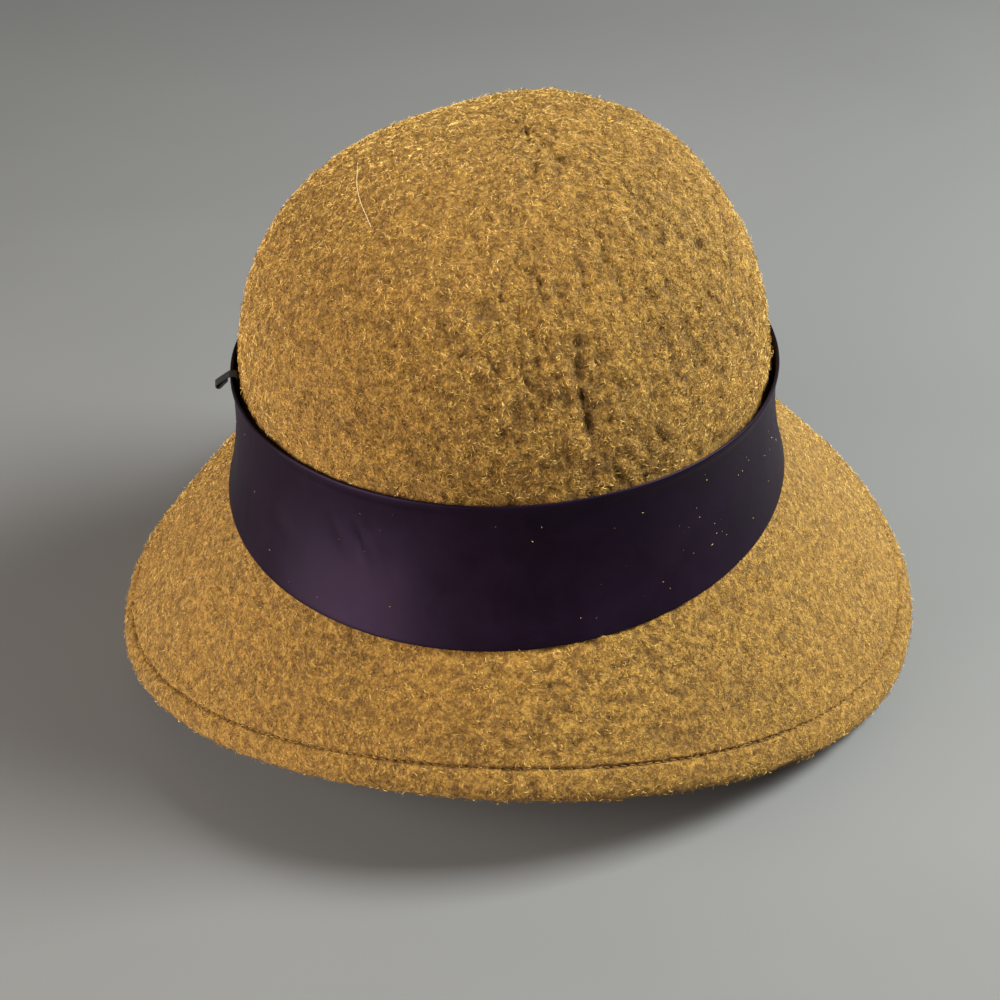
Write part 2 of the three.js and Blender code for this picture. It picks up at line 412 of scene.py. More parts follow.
# How crumpled the felt is: most on the wearer's right and at the back of the brim, least on the left
def crumpleShare(rows, angle, falls):
    crown = easeStep(0.05, -0.035, rows[..., 0])
    brim = np.exp(-((angle - 2.0) / 0.45) ** 2) + 0 * falls
    return mix(feltBody["smoothShare"], 1, np.where(falls > 2, brim, crown))


def crumpleFelt(angle, rows, falls):
    sizes = feltBody
    arc = np.cumsum(np.linalg.norm(np.diff(rows, axis=0, prepend=rows[:1]), axis=-1).mean(axis=1))[:, None]
    ring = np.stack([np.cos(angle), np.sin(angle), 0 * angle], axis=-1) * hatForm["waistHalfLength"]
    upright = np.array([0, 0, 1.0])

    def streaks(across, along, shift):
        return noiseAt(ring / across + (arc / along + shift)[..., None] * upright)

    pebble = noiseAt(rows / sizes["pebbleSize"]) + 0.5 * noiseAt(rows / sizes["pebbleSize"] * 2.1 + 7)
    sharp = sizes["grooveSharpness"]
    lines = (1 - sharp * np.abs(streaks(sizes["grooveAcross"], sizes["grooveAlong"], 3))).clip(0)
    lines = lines * easeStep(-0.15, 0.3, streaks(sizes["grooveAcross"] * 2, sizes["grooveAlong"] * 1.4, 31))
    pits = (1 - sharp * np.abs(noiseAt(rows / sizes["pitSize"] + 11))).clip(0)
    pits = pits * easeStep(-0.1, 0.3, noiseAt(rows / sizes["pitSpread"]))
    grooves = mix(sizes["pitShare"] * pits, lines, easeStep(0.15, 0.5, falls))
    folds = streaks(sizes["foldAcross"], sizes["foldAlong"], 57)
    for crease in longCreases:
        along = (falls - crease["from"]) / (crease["to"] - crease["from"])
        middle = crease["angle"] + crease["lean"] * (along - 0.5)
        off = (angle - middle) * hatForm["waistHalfWidth"] / crease["width"]
        line = np.exp(-off ** 2) * easeStep(-0.1, 0.2, along) * easeStep(1.1, 0.8, along)
        grooves = np.maximum(grooves, line * crease["depth"] / sizes["grooveDepth"])
    share = crumpleShare(rows, angle, falls)
    first = sizes["domeRows"] + sizes["wallRows"] + sizes["brimRows"]
    share[first:first + sizes["hemRows"]] *= sizes["hemShare"]
    share[first + sizes["hemRows"]:] = sizes["insideShare"]
    pebble[first:] *= sizes["hemShare"]
    push = sizes["pebbleDepth"] * pebble * mix(0.5, 1, share) - sizes["grooveDepth"] * grooves * share
    push = push + sizes["foldDepth"] * folds * share
    moved = rows + gridNormals(rows) * push[..., None]
    moved[..., 2] = moved[..., 2].clip(0)
    # The groove depth also darkens the felt and its fuzz: painted shade in the grooves, pits and creases, and
    # painted seam shadow along the hem's stitched groove
    depth = (grooves * share).clip(0, 1)
    seam = np.exp(-((np.linspace(0, 1, sizes["hemRows"]) - seamPlace) / sizes["seamShadow"]) ** 2)
    depth[first:first + sizes["hemRows"]] = np.maximum(depth[first:first + sizes["hemRows"]], seam[:, None])
    return moved, depth


def makeFeltBody():
    sizes = feltBody
    angle, rows, falls = feltGrid()
    rows, grooves = crumpleFelt(angle, rows, falls)
    ringCount = len(rows) + 1
    clearSelection()
    bpy.ops.mesh.primitive_uv_sphere_add(segments=sizes["columns"], ring_count=ringCount, radius=1)
    piece = activePiece("felt_hat")
    ball = readPoints(piece)
    row = np.rint(np.arccos(ball[:, 2].clip(-1, 1)) / np.pi * ringCount).astype(int) - 1
    column = np.rint(np.arctan2(ball[:, 1], ball[:, 0]) / (2 * np.pi) * sizes["columns"]).astype(int)
    column = column % sizes["columns"]
    inside = row.clip(0, len(rows) - 1)
    points = rows[inside, column]
    depth = grooves[inside, column]
    points[row < 0] = rows[0].mean(axis=0)
    points[row >= len(rows)] = rows[-1].mean(axis=0)
    writePoints(piece, points)
    # The groove attribute carries that painted shade to the felt's colour
    attribute = piece.data.attributes.new("groove", "FLOAT", "POINT")
    attribute.data.foreach_set("value", depth.astype(np.float32))
    piece.data.uv_layers[0].name = "OFBake"
    smoothPiece(piece)
    print("felt body blocked:", len(piece.data.polygons), "faces")
    return piece, angle, rows, grooves


felt, feltAngles, feltRows, feltGrooves = makeFeltBody()


# Fuzz: short bent fibres that lie on the felt, each a closed sliver with a root, a ring of three and a tip
fuzz = {
    "length": (0.0009, 0.0026),
    "thickness": (0.0001, 0.00022),
    "lift": (0.1, 0.6),
    "bend": 0.9,
    "bendAt": 0.52,
    "clumpSize": 0.0019,
    "clumpWeight": 1.15,
    "grooveShadeWeight": 0.6,
    "crownFibres": 32500,
    "brimFibres": 24000,
    "seed": 11,
}
fibreFaces = [(0, 2, 1), (0, 3, 2), (0, 1, 3), (1, 2, 4), (2, 3, 4), (3, 1, 4)]


def fibreMesh(name, roots, normals, rng, tones, length, lift):
    count = len(roots)
    sideways = unit(np.cross(normals, np.array([0.31, 0.17, 0.94])))
    forward = np.cross(normals, sideways)
    turn = rng.uniform(0, 2 * np.pi, count)
    bend = rng.normal(0, fuzz["bend"], count)

    def heading(spin, rise):
        flat = sideways * np.cos(spin)[:, None] + forward * np.sin(spin)[:, None]
        return flat * np.cos(rise)[:, None] + normals * np.sin(rise)[:, None]

    first = heading(turn, lift)
    second = heading(turn + bend, lift * rng.uniform(-0.4, 0.7, count))
    middle = roots + first * (length * fuzz["bendAt"])[:, None]
    tip = middle + second * (length * (1 - fuzz["bendAt"]))[:, None]
    wide = unit(np.cross(first + second, normals))
    deep = unit(np.cross(first + second, wide))
    radius = rng.uniform(*fuzz["thickness"], count)[:, None] / 2
    corners = [middle + radius * (wide * math.cos(a) + deep * math.sin(a)) for a in (0.5, 2.6, 4.7)]
    points = np.stack([roots - normals * 0.0001, *corners, tip], axis=1).reshape(-1, 3)
    points[:, 2] = points[:, 2].clip(0)
    faces = (np.arange(count)[:, None, None] * 5 + np.array(fibreFaces)).reshape(-1, 3)
    piece = joinedMesh(name, points.tolist(), faces.tolist())
    # each fibre has a narrow strip of the tone map, from its root up to its tip
    across = np.array([0, -1, 0, 1, 0]) * 0.004
    upwards = np.tile([0.02, 0.5, 0.5, 0.5, 0.98], (count, 1))
    places = np.stack([tones[:, None] * 0.98 + 0.01 + across, upwards], axis=-1)
    layer = piece.data.uv_layers.new(name="OFBake")
    layer.data.foreach_set("uv", places.reshape(-1, 2)[faces.ravel()].astype(np.float32).ravel())
    return piece


# Places spread evenly by area over the cells of some rows of the felt, on one side of the hat
def placesOnFelt(firstRow, lastRow, side, count, rng):
    block = feltRows[firstRow:lastRow + 1]
    across = np.roll(block, -1, axis=1)
    area = np.linalg.norm(np.cross(across[1:] - block[:-1], block[1:] - across[:-1]), axis=-1)
    area = area * (np.sign(block[:-1, :, 0]) == side)
    chances = np.cumsum(area.ravel())
    cell = np.searchsorted(chances, rng.uniform(0, chances[-1], count))
    row, column = np.unravel_index(cell.clip(0, area.size - 1), area.shape)
    down = rng.uniform(0, 1, count)[:, None]
    along = rng.uniform(0, 1, count)[:, None]
    upper = mix(block[row, column], across[row, column], along)
    lower = mix(block[row + 1, column], across[row + 1, column], along)
    normals = gridNormals(feltRows)[row + firstRow, column]
    return mix(upper, lower, down), normals, feltGrooves[row + firstRow, column]


def makeFuzz(name, firstRow, lastRow, side, count, seed):
    rng = np.random.default_rng(seed)
    roots, normals, groove = placesOnFelt(firstRow, lastRow, side, count, rng)
    length = rng.uniform(*fuzz["length"], count)
    lift = rng.uniform(*fuzz["lift"], count)
    clumps = noiseAt(roots / fuzz["clumpSize"]) + 0.5 * noiseAt(roots / fuzz["clumpSize"] * 2.3 + 5)
    # Fibres are toned darker where the felt's groove depth is high: painted shade in grooves, pits, creases and
    # along the seam
    tones = (rng.normal(0.46, 0.16, count) + fuzz["clumpWeight"] * clumps - fuzz["grooveShadeWeight"] * groove).clip(0, 1)
    return fibreMesh(name, roots, normals, rng, tones, length, lift)


domeLast = feltBody["domeRows"] - 1
brimFirst = feltBody["domeRows"] + feltBody["wallRows"]
brimLast = brimFirst + feltBody["brimRows"] + feltBody["hemRows"] + feltBody["innerBrimRows"] - 1
fuzzPieces = []
for sideName, side in (("left", 1), ("right", -1)):
    crownSeed = fuzz["seed"] + side
    brimSeed = fuzz["seed"] + 4 + side
    fuzzPieces.append(
        makeFuzz("crown_fuzz_" + sideName, 0, domeLast, side, fuzz["crownFibres"], crownSeed))
    fuzzPieces.append(
        makeFuzz("brim_fuzz_" + sideName, brimFirst, brimLast, side, fuzz["brimFibres"], brimSeed))
print("fuzz laid:", sum(len(piece.data.polygons) for piece in fuzzPieces), "faces")


# Hem stitches: one thread stitch modelled once and copied along the seam
stitching = {"length": 0.0021, "thickness": 0.0005, "pitch": 0.0027, "sink": 0.00055, "lean": 0.12, "seed": 5}


def makeStitches():
    clearSelection()
    bpy.ops.mesh.primitive_uv_sphere_add(segments=8, ring_count=6, radius=0.5)
    stitch = bpy.context.object
    bpy.ops.object.mode_set(mode="EDIT")
    bpy.ops.mesh.select_all(action="SELECT")
    bpy.ops.transform.rotate(value=math.pi / 2, orient_axis="Y", center_override=(0, 0, 0))
    bpy.ops.transform.resize(value=(stitching["length"], stitching["thickness"], stitching["thickness"]))
    bpy.ops.object.mode_set(mode="OBJECT")
    shape = readPoints(stitch)
    shapeFaces = [list(face.vertices) for face in stitch.data.polygons]
    bpy.data.objects.remove(stitch)
    fine = np.linspace(0, 2 * np.pi, 4001)
    line = hemPoints(fine, seamPlace)
    travel = np.concatenate([[0], np.cumsum(np.linalg.norm(np.diff(line, axis=0), axis=-1))])
    count = int(travel[-1] / stitching["pitch"])
    angle = np.interp(np.arange(count) / count * travel[-1], travel, fine)
    place = hemPoints(angle, seamPlace)
    foot, edge, slope, upward = brimSlope(angle)
    along = unit(hemPoints(angle + 0.002, seamPlace) - hemPoints(angle - 0.002, seamPlace))
    rng = np.random.default_rng(stitching["seed"])
    lean = rng.normal(0, stitching["lean"], count)[:, None]
    across = np.cross(upward, along)
    heading = along * np.cos(lean) + across * np.sin(lean)
    sideways = np.cross(upward, heading)
    rise = (rng.uniform(0.55, 1.1, count) * stitching["sink"])[:, None]
    place = place + upward * rise
    points = place[:, None] + shape[None, :, :1] * heading[:, None] + shape[None, :, 1:2] * sideways[:, None]
    points = points + shape[None, :, 2:] * upward[:, None]
    points[..., 2] = points[..., 2].clip(0)
    faces = [[i * len(shape) + corner for corner in face] for i in range(count) for face in shapeFaces]
    piece = joinedMesh("hem_stitches", points.reshape(-1, 3).tolist(), faces)
    smoothPiece(piece)
    print("hem stitched:", count, "stitches")
    return piece


stitches = makeStitches()


# Satin band: a ring whose section is a thin strip with its upper edge folded over
bandStrip = {
    "columns": 256,
    "height": 0.041,
    "gap": 0.0003,
    "wall": 0.0007,
    "fold": 0.0003,
    "backStandOff": 0.0004,
    "sideStandOff": 0.0026,
    "rippleDepth": 0.00022,
    "edgeWave": 0.0002,
    "pullDepth": 0.0005,
}

# The strip's section from the middle of its outer face, over the top, down inside and round the lower edge
bandSection = (
    [{"climb": climb, "layers": 1, "folds": 0} for climb in np.linspace(0.5, 0.9, 9)]
    + [{"climb": 0.925, "layers": 1, "folds": 0.1}, {"climb": 0.94, "layers": 1, "folds": 1}]
    + [{"climb": 0.955, "layers": 1, "folds": 1.25}, {"climb": 0.975, "layers": 1, "folds": 1.2}]
    + [{"climb": 0.992, "layers": 1, "folds": 0.8}, {"climb": 1, "layers": 0.75, "folds": 0}]
    + [{"climb": 0.997, "layers": 0.25, "folds": 0}, {"climb": 0.985, "layers": 0, "folds": 0}]
    + [{"climb": climb, "layers": 0, "folds": 0} for climb in np.linspace(0.9, 0.05, 9)]
    + [{"climb": 0.008, "layers": 0.1, "folds": 0}, {"climb": 0, "layers": 0.5, "folds": 0}]
    + [{"climb": 0.008, "layers": 0.9, "folds": 0}]
    + [{"climb": climb, "layers": 1, "folds": 0} for climb in np.linspace(0.04, 0.45, 9)]
)

# Short slanting pulls in the satin, most of them on the wearer's left of the back
bandPulls = [
    {"angle": 1.19, "climb": 0.59, "slant": 1.05, "length": 0.010, "width": 0.0011, "depth": -1.0},
    {"angle": 1.225, "climb": 0.60, "slant": 1.05, "length": 0.010, "width": 0.0013, "depth": 0.6},
    {"angle": 1.225, "climb": 0.68, "slant": 1.05, "length": 0.009, "width": 0.0011, "depth": -0.7},
    {"angle": 1.10, "climb": 0.62, "slant": 0.95, "length": 0.014, "width": 0.0020, "depth": 0.5},
    {"angle": 1.32, "climb": 0.50, "slant": 0.8, "length": 0.012, "width": 0.0018, "depth": -0.5},
    {"angle": 0.80, "climb": 0.45, "slant": 0.3, "length": 0.020, "width": 0.0040, "depth": 0.7},
    {"angle": 2.30, "climb": 0.40, "slant": -0.4, "length": 0.022, "width": 0.0035, "depth": 0.6},
]


def bandPoints(angle, climb, layers):
    sideShare = np.cos(angle) ** 2
    atTop = mix(bandStrip["backStandOff"], bandStrip["sideStandOff"], sideShare)
    outward = feltNormal(angle, 2 - climb)
    outward[..., 2] = 0
    outward = unit(outward)
    off = bandStrip["gap"] + atTop * climb ** 2 + layers
    return feltFace(angle, 2 - climb) + outward * off[..., None], outward


def bandRipple(angle, climb):
    ring = np.stack([np.cos(angle), np.sin(angle), 0 * angle], axis=-1) * 0.09
    upright = np.array([0, 0, 1.0])
    soft = noiseAt(ring / 0.028 + (climb * bandStrip["height"] / 0.02)[..., None] * upright)
    fine = noiseAt(ring / 0.009 + (climb * bandStrip["height"] / 0.03 + 9)[..., None] * upright)
    return bandStrip["rippleDepth"] * (soft + 0.35 * fine)


# The pulls are finer than the ring's own faces, so they are pressed in once it is subdivided
def pullBand(piece):
    points = readPoints(piece)
    away = points - np.array([0, hatForm["headCentreY"], 0])
    angle = np.arctan2(away[:, 1] / hatForm["footHalfLength"], away[:, 0] / hatForm["footHalfWidth"])
    top = hatForm["waistHeight"] + hatForm["waistBackRise"] * np.sin(angle)
    climb = (points[:, 2] - hatForm["footHeight"]) / (top - hatForm["footHeight"])
    push = 0 * angle
    for pull in bandPulls:
        along = (angle - pull["angle"]) * hatForm["footHalfLength"]
        rise = (climb - pull["climb"]) * bandStrip["height"]
        length = along * math.cos(pull["slant"]) - rise * math.sin(pull["slant"])
        across = along * math.sin(pull["slant"]) + rise * math.cos(pull["slant"])
        bump = np.exp(-(length / pull["length"] * 2) ** 2 - (across / pull["width"]) ** 2)
        push = push + bandStrip["pullDepth"] * pull["depth"] * bump
    outward = away * np.array([1, 1, 0])
    writePoints(piece, points + unit(outward) * push[:, None])


def makeBand():
    rowsAround = bandStrip["columns"]
    clearSelection()
    bpy.ops.mesh.primitive_torus_add(major_segments=rowsAround, minor_segments=len(bandSection))
    piece = activePiece("satin_band")
    angle = (np.arange(rowsAround) / rowsAround * 2 * np.pi)[:, None]
    climb = np.array([row["climb"] for row in bandSection])[None, :]
    layers = np.array([row["layers"] for row in bandSection]) * bandStrip["wall"]
    layers = layers + np.array([row["folds"] for row in bandSection]) * bandStrip["fold"]
    angle, climb, layers = np.broadcast_arrays(angle, climb, layers[None, :])
    points, outward = bandPoints(angle, climb, layers)
    push = bandRipple(angle, climb) * easeStep(0, 0.15, climb)
    lowest = -bandStrip["gap"] * 0.5
    points = points + outward * push.clip(lowest)[..., None]
    ring = np.stack([np.cos(angle) * 3, np.sin(angle) * 3, 0 * angle], axis=-1)
    points[..., 2] += bandStrip["edgeWave"] * noiseAt(ring) * climb
    writePoints(piece, points.reshape(-1, 3))
    piece.data.uv_layers[0].name = "OFBake"
    applyModifier(piece, "SUBSURF", levels=1, render_levels=1)
    pullBand(piece)
    smoothPiece(piece)
    print("band wrapped:", len(piece.data.polygons), "faces")
    return piece


band = makeBand()


# Ribbon loop: a narrow ribbon with a tail behind the band, over its edge and folded back under itself
ribbonLoop = {
    "angle": 0.29,
    "ribbon": 0.0006,
    "width": 0.0034,
    "tailLength": 0.008,
    "reach": 0.0046,
    "droop": 0.0044,
    "fold": 0.0022,
    "underLayer": 0.0034,
    "foldSteps": 6,
}


def loopLine():
    sizes = ribbonLoop
    half = sizes["ribbon"] / 2
    standOff = mix(bandStrip["backStandOff"], bandStrip["sideStandOff"], math.cos(sizes["angle"]) ** 2)
    bandInside = bandStrip["gap"] + standOff
    bandOutside = bandInside + bandStrip["wall"] + bandStrip["fold"]
    over = bandStrip["gap"] + half
    slant = Vector((sizes["reach"], -sizes["droop"])).normalized()
    across = Vector((-slant.y, slant.x))
    tip = Vector((bandOutside + sizes["reach"], over + half - sizes["droop"]))
    foldMiddle = tip - slant * (sizes["fold"] / 2)
    radius = sizes["fold"] / 2 - half
    line = [Vector((bandInside / 2, -sizes["tailLength"]))]
    line.append(Vector((bandInside / 2, -sizes["tailLength"] / 2)))
    line += [Vector((bandInside / 2, over - 3 * half)), Vector((bandInside / 2 + half, over - half / 2))]
    line += [Vector((bandInside / 2 + 3 * half, over)), Vector((bandOutside, over))]
    line.append(line[-1].lerp(foldMiddle + across * radius, 0.5))
    for i in range(sizes["foldSteps"] + 1):
        turn = math.pi * i / sizes["foldSteps"]
        line.append(foldMiddle + across * (radius * math.cos(turn)) + slant * (radius * math.sin(turn)))
    line.append(foldMiddle - slant * sizes["underLayer"] - across * radius)
    return line


def makeRibbonLoop():
    angle = np.array(ribbonLoop["angle"])
    root = Vector(feltFace(angle, 1.0))
    outward = Vector(feltNormal(angle, 1.0))
    outward.z = 0
    outward.normalize()
    along = outward.cross(Vector((0, 0, 1)))
    line = [root + outward * point.x + Vector((0, 0, point.y)) for point in loopLine()]
    clearSelection()
    bpy.ops.mesh.primitive_plane_add(size=ribbonLoop["width"])
    piece = activePiece("ribbon_fold")
    bpy.ops.object.mode_set(mode="EDIT")
    bpy.ops.mesh.select_all(action="DESELECT")
    bpy.ops.object.mode_set(mode="OBJECT")
    for corner in piece.data.vertices:
        corner.select = corner.co.y < 0
    bpy.ops.object.mode_set(mode="EDIT")
    bpy.ops.mesh.delete(type="VERT")
    bpy.ops.object.mode_set(mode="OBJECT")
    for corner, side in zip(piece.data.vertices, (-0.5, 0.5)):
        corner.co = line[0] + along * ribbonLoop["width"] * side
    bpy.ops.object.mode_set(mode="EDIT")
    bpy.ops.mesh.select_all(action="SELECT")
    for here, there in zip(line, line[1:]):
        bpy.ops.mesh.extrude_region_move(TRANSFORM_OT_translate={"value": there - here})
    bpy.ops.mesh.select_all(action="SELECT")
    bpy.ops.mesh.normals_make_consistent(inside=False)
    bpy.ops.object.mode_set(mode="OBJECT")
    applyModifier(piece, "SOLIDIFY", thickness=ribbonLoop["ribbon"], offset=0)
    applyModifier(piece, "BEVEL", width=0.00012, segments=2, limit_method="ANGLE")
    applyModifier(piece, "SUBSURF", levels=2, render_levels=2)
    smoothPiece(piece)
    print("ribbon folded:", len(piece.data.polygons), "faces")
    return piece


ribbon = makeRibbonLoop()


# A loose pale hair lying on the crown, and wool lint caught on the band
looseHair = {
    "from": (0.125, 0.36),
    "middle": (0.52, 0.372),
    "to": (0.832, 0.405),
    "thickness": 0.00013,
    "clear": 0.0007,
}
bandLint = {"count": 90, "length": (0.0003, 0.0012), "seed": 3}


def makeLooseHair():
    ends = [np.array(looseHair[place]) for place in ("from", "middle", "to")]
    clearSelection()
    bpy.ops.curve.primitive_bezier_curve_add()
    hair = bpy.context.object
    spline = hair.data.splines[0]
    spline.bezier_points.add(1)
    for point, end, lift in zip(spline.bezier_points, ends, (0.4, 1.3, 0.9)):
        place = feltFace(end[0], end[1]) + feltNormal(end[0], end[1]) * looseHair["clear"] * lift
        point.co = Vector(place)
        point.handle_left_type = point.handle_right_type = "AUTO"
    hair.data.bevel_depth = looseHair["thickness"] / 2
    hair.data.bevel_resolution = 1
    hair.data.use_fill_caps = True
    hair.data.resolution_u = 16
    bpy.ops.object.convert(target="MESH")
    piece = activePiece("loose_hair")
    print("loose hair laid")
    return piece


def makeBandLint():
    rng = np.random.default_rng(bandLint["seed"])
    count = bandLint["count"]
    angle = rng.uniform(0, 2 * np.pi, count)
    angle[: count // 2] = rng.normal(2.5, 0.35, count // 2)
    climb = rng.uniform(0.08, 0.9, count)
    roots, outward = bandPoints(angle, climb, np.full(count, bandStrip["wall"]))
    roots = roots + outward * bandRipple(angle, climb)[:, None]
    length = rng.uniform(*bandLint["length"], count)
    tones = rng.uniform(0.5, 1, count)
    return fibreMesh("band_lint", roots, outward, rng, tones, length, np.full(count, 0.15))


hair = makeLooseHair()
lint = makeBandLint()


# Shared effect: a soft-edged mottle of two noises, for dye that takes unevenly
def mottleGroup():
    group = bpy.data.node_groups.new("dyeMottle", "ShaderNodeTree")
    group.interface.new_socket("Coarse Scale", in_out="INPUT", socket_type="NodeSocketFloat")
    group.interface.new_socket("Fine Scale", in_out="INPUT", socket_type="NodeSocketFloat")
    group.interface.new_socket("Mottle", in_out="OUTPUT", socket_type="NodeSocketFloat")
    group.interface.new_socket("Grain", in_out="OUTPUT", socket_type="NodeSocketFloat")
    ends = addNode(group, "NodeGroupInput"), addNode(group, "NodeGroupOutput")
    place = addNode(group, "ShaderNodeTexCoord")
    coarse = addNode(group, "ShaderNodeTexNoise", {"Detail": 3.0, "Roughness": 0.6, "Distortion": 0.4})
    fine = addNode(group, "ShaderNodeTexNoise", {"Detail": 4.0, "Roughness": 0.7, "Distortion": 0.8})
    for texture, scale in ((coarse, "Coarse Scale"), (fine, "Fine Scale")):
        group.links.new(place.outputs["Object"], texture.inputs["Vector"])
        group.links.new(ends[0].outputs[scale], texture.inputs["Scale"])
    group.links.new(rangeOf(group, coarse.outputs[0], 0.3, 0.7), ends[1].inputs["Mottle"])
    group.links.new(rangeOf(group, fine.outputs[0], 0.3, 0.7), ends[1].inputs["Grain"])
    return group


dyeMottle = mottleGroup()


def addMottle(tree, coarse, fine):
    scales = {"Coarse Scale": coarse, "Fine Scale": fine}
    return addNode(tree, "ShaderNodeGroup", scales, node_tree=dyeMottle)


def addBump(tree, shader, height, strength, distance):
    bump = addNode(tree, "ShaderNodeBump", {"Strength": strength, "Distance": distance})
    tree.links.new(height, bump.inputs["Height"])
    tree.links.new(bump.outputs["Normal"], shader.inputs["Normal"])


feltLook = {
    "dark": (0.10, 0.040, 0.004, 1),
    "mid": (0.42, 0.212, 0.028, 1),
    "pale": (0.74, 0.435, 0.085, 1),
    "warm": (0.45, 0.20, 0.025, 1),
    # painted shade for the felt's grooves, pits, creases and seam
    "grooveShade": (0.08, 0.032, 0.004, 1),
}


def feltMaterial():
    material, tree, shader = newMaterial("mustardFelt", **{
        "Specular IOR Level": 0.25, "Sheen Weight": 0.12, "Sheen Roughness": 0.6,
        "Sheen Tint": (1, 0.82, 0.5, 1)})
    cloud = addMottle(tree, 24.0, 240.0)
    grain = addMottle(tree, 420.0, 1150.0)
    place = addNode(tree, "ShaderNodeTexCoord")
    strands = addNode(tree, "ShaderNodeTexNoise", {
        "Scale": 430.0, "Detail": 2.5, "Roughness": 0.55, "Distortion": 1.4}, noise_type="RIDGED_MULTIFRACTAL")
    tree.links.new(place.outputs["Object"], strands.inputs["Vector"])
    strand = rangeOf(tree, strands.outputs[0], 0.55, 1.1)
    groove = addNode(tree, "ShaderNodeAttribute", attribute_name="groove").outputs["Fac"]
    tone = calculate(tree, "MULTIPLY_ADD", grain.outputs["Grain"], 0.55)
    tree.links.new(calculate(tree, "MULTIPLY", grain.outputs["Mottle"], 0.45), tone.node.inputs[2])
    colour = blendColours(tree, rangeOf(tree, tone, 0.25, 0.68), feltLook["dark"], feltLook["mid"])
    colour = blendColours(tree, rangeOf(tree, tone, 0.5, 1.0, 0, 0.8), colour, feltLook["pale"])
    warmth = calculate(tree, "MULTIPLY", cloud.outputs["Mottle"], 0.25)
    colour = blendColours(tree, warmth, colour, feltLook["warm"])
    colour = blendColours(tree, calculate(tree, "MULTIPLY", strand, 0.55), colour, feltLook["pale"])
    # Painted shade: darkened towards the groove shade colour where the groove attribute marks grooves, pits, creases
    # and the seam
    colour = blendColours(tree, calculate(tree, "MULTIPLY", groove, 0.6), colour, feltLook["grooveShade"])
    tree.links.new(colour, shader.inputs["Base Color"])
    tree.links.new(rangeOf(tree, grain.outputs["Grain"], 0, 1, 0.98, 0.78), shader.inputs["Roughness"])
    height = calculate(tree, "ADD", calculate(tree, "MULTIPLY", strand, 0.5), tone)
    addBump(tree, shader, height, 1.0, 0.0015)
    return material


fuzzLook = {"root": (0.11, 0.046, 0.005, 1), "tip": (0.55, 0.31, 0.055, 1), "bright": (0.90, 0.61, 0.18, 1)}


# The tone map's width runs from deep to pale fibres and its height from root to tip. The darker roots are painted
# shade where the fibres sink into the felt, and the deepest tones, which take the root colour, are partly random
# tone and partly the grooves' painted shade.
def fuzzMaterial():
    material, tree, shader = newMaterial("woolFuzz", **{"Roughness": 0.75, "Specular IOR Level": 0.3})
    toneMap = addNode(tree, "ShaderNodeUVMap", uv_map="OFBake")
    parts = addNode(tree, "ShaderNodeSeparateXYZ")
    tree.links.new(toneMap.outputs["UV"], parts.inputs[0])
    # Painted shade: darker towards the root
    colour = blendColours(tree, rangeOf(tree, parts.outputs["Y"], 0, 0.7), fuzzLook["root"], fuzzLook["tip"])
    colour = blendColours(tree, rangeOf(tree, parts.outputs["X"], 0.5, 1.0), colour, fuzzLook["bright"])
    deep = rangeOf(tree, parts.outputs["X"], 0.5, 0.05, 0, 0.95)
    colour = blendColours(tree, deep, colour, fuzzLook["root"])
    tree.links.new(colour, shader.inputs["Base Color"])
    return material


def threadMaterial():
    material, tree, shader = newMaterial("seamThread", **{"Roughness": 0.7, "Specular IOR Level": 0.3})
    grain = addMottle(tree, 300.0, 2600.0)
    colour = blendColours(tree, grain.outputs["Mottle"], (0.13, 0.06, 0.01, 1), (0.27, 0.14, 0.028, 1))
    tree.links.new(colour, shader.inputs["Base Color"])
    addBump(tree, shader, grain.outputs["Grain"], 0.5, 0.0001)
    return material


def satinMaterial():
    material, tree, shader = newMaterial("aubergineSatin", **{
        "IOR": 1.22, "Specular IOR Level": 0.5, "Specular Tint": (0.8, 0.48, 1, 1), "Sheen Weight": 0.008,
        "Sheen Roughness": 0.35, "Sheen Tint": (0.7, 0.5, 0.9, 1)})
    cloth = addMottle(tree, 60.0, 900.0)
    place = addNode(tree, "ShaderNodeTexCoord")
    stretch = addNode(tree, "ShaderNodeMapping", {"Scale": (120, 120, 5200)})
    threads = addNode(tree, "ShaderNodeTexNoise", {"Scale": 1.0, "Detail": 1.0})
    tree.links.new(place.outputs["Object"], stretch.inputs["Vector"])
    tree.links.new(stretch.outputs[0], threads.inputs["Vector"])
    colour = blendColours(tree, cloth.outputs["Mottle"], (0.004, 0.0018, 0.0045, 1), (0.007, 0.0035, 0.0085, 1))
    tree.links.new(colour, shader.inputs["Base Color"])
    tree.links.new(rangeOf(tree, cloth.outputs["Mottle"], 0, 1, 0.42, 0.5), shader.inputs["Roughness"])
    height = calculate(tree, "ADD", calculate(tree, "MULTIPLY", threads.outputs[0], 0.6), cloth.outputs["Grain"])
    addBump(tree, shader, height, 0.25, 0.00006)
    return material


def ribbonMaterial():
    material, tree, shader = newMaterial("blackRibbon", **{"Specular IOR Level": 0.35, "Sheen Weight": 0.05})
    cloth = addMottle(tree, 500.0, 3000.0)
    place = addNode(tree, "ShaderNodeTexCoord")
    turned = addNode(tree, "ShaderNodeMapping", {"Rotation": (0, 0, -ribbonLoop["angle"])})
    ribs = addNode(tree, "ShaderNodeTexWave", {"Scale": 330.0, "Distortion": 0.6}, bands_direction="Y")
    tree.links.new(place.outputs["Object"], turned.inputs["Vector"])
    tree.links.new(turned.outputs[0], ribs.inputs["Vector"])
    colour = blendColours(tree, cloth.outputs["Mottle"], (0.006, 0.006, 0.007, 1), (0.014, 0.013, 0.015, 1))
    tree.links.new(colour, shader.inputs["Base Color"])
    tree.links.new(rangeOf(tree, cloth.outputs["Grain"], 0, 1, 0.5, 0.75), shader.inputs["Roughness"])
    addBump(tree, shader, ribs.outputs["Fac"], 0.5, 0.0001)
    return material


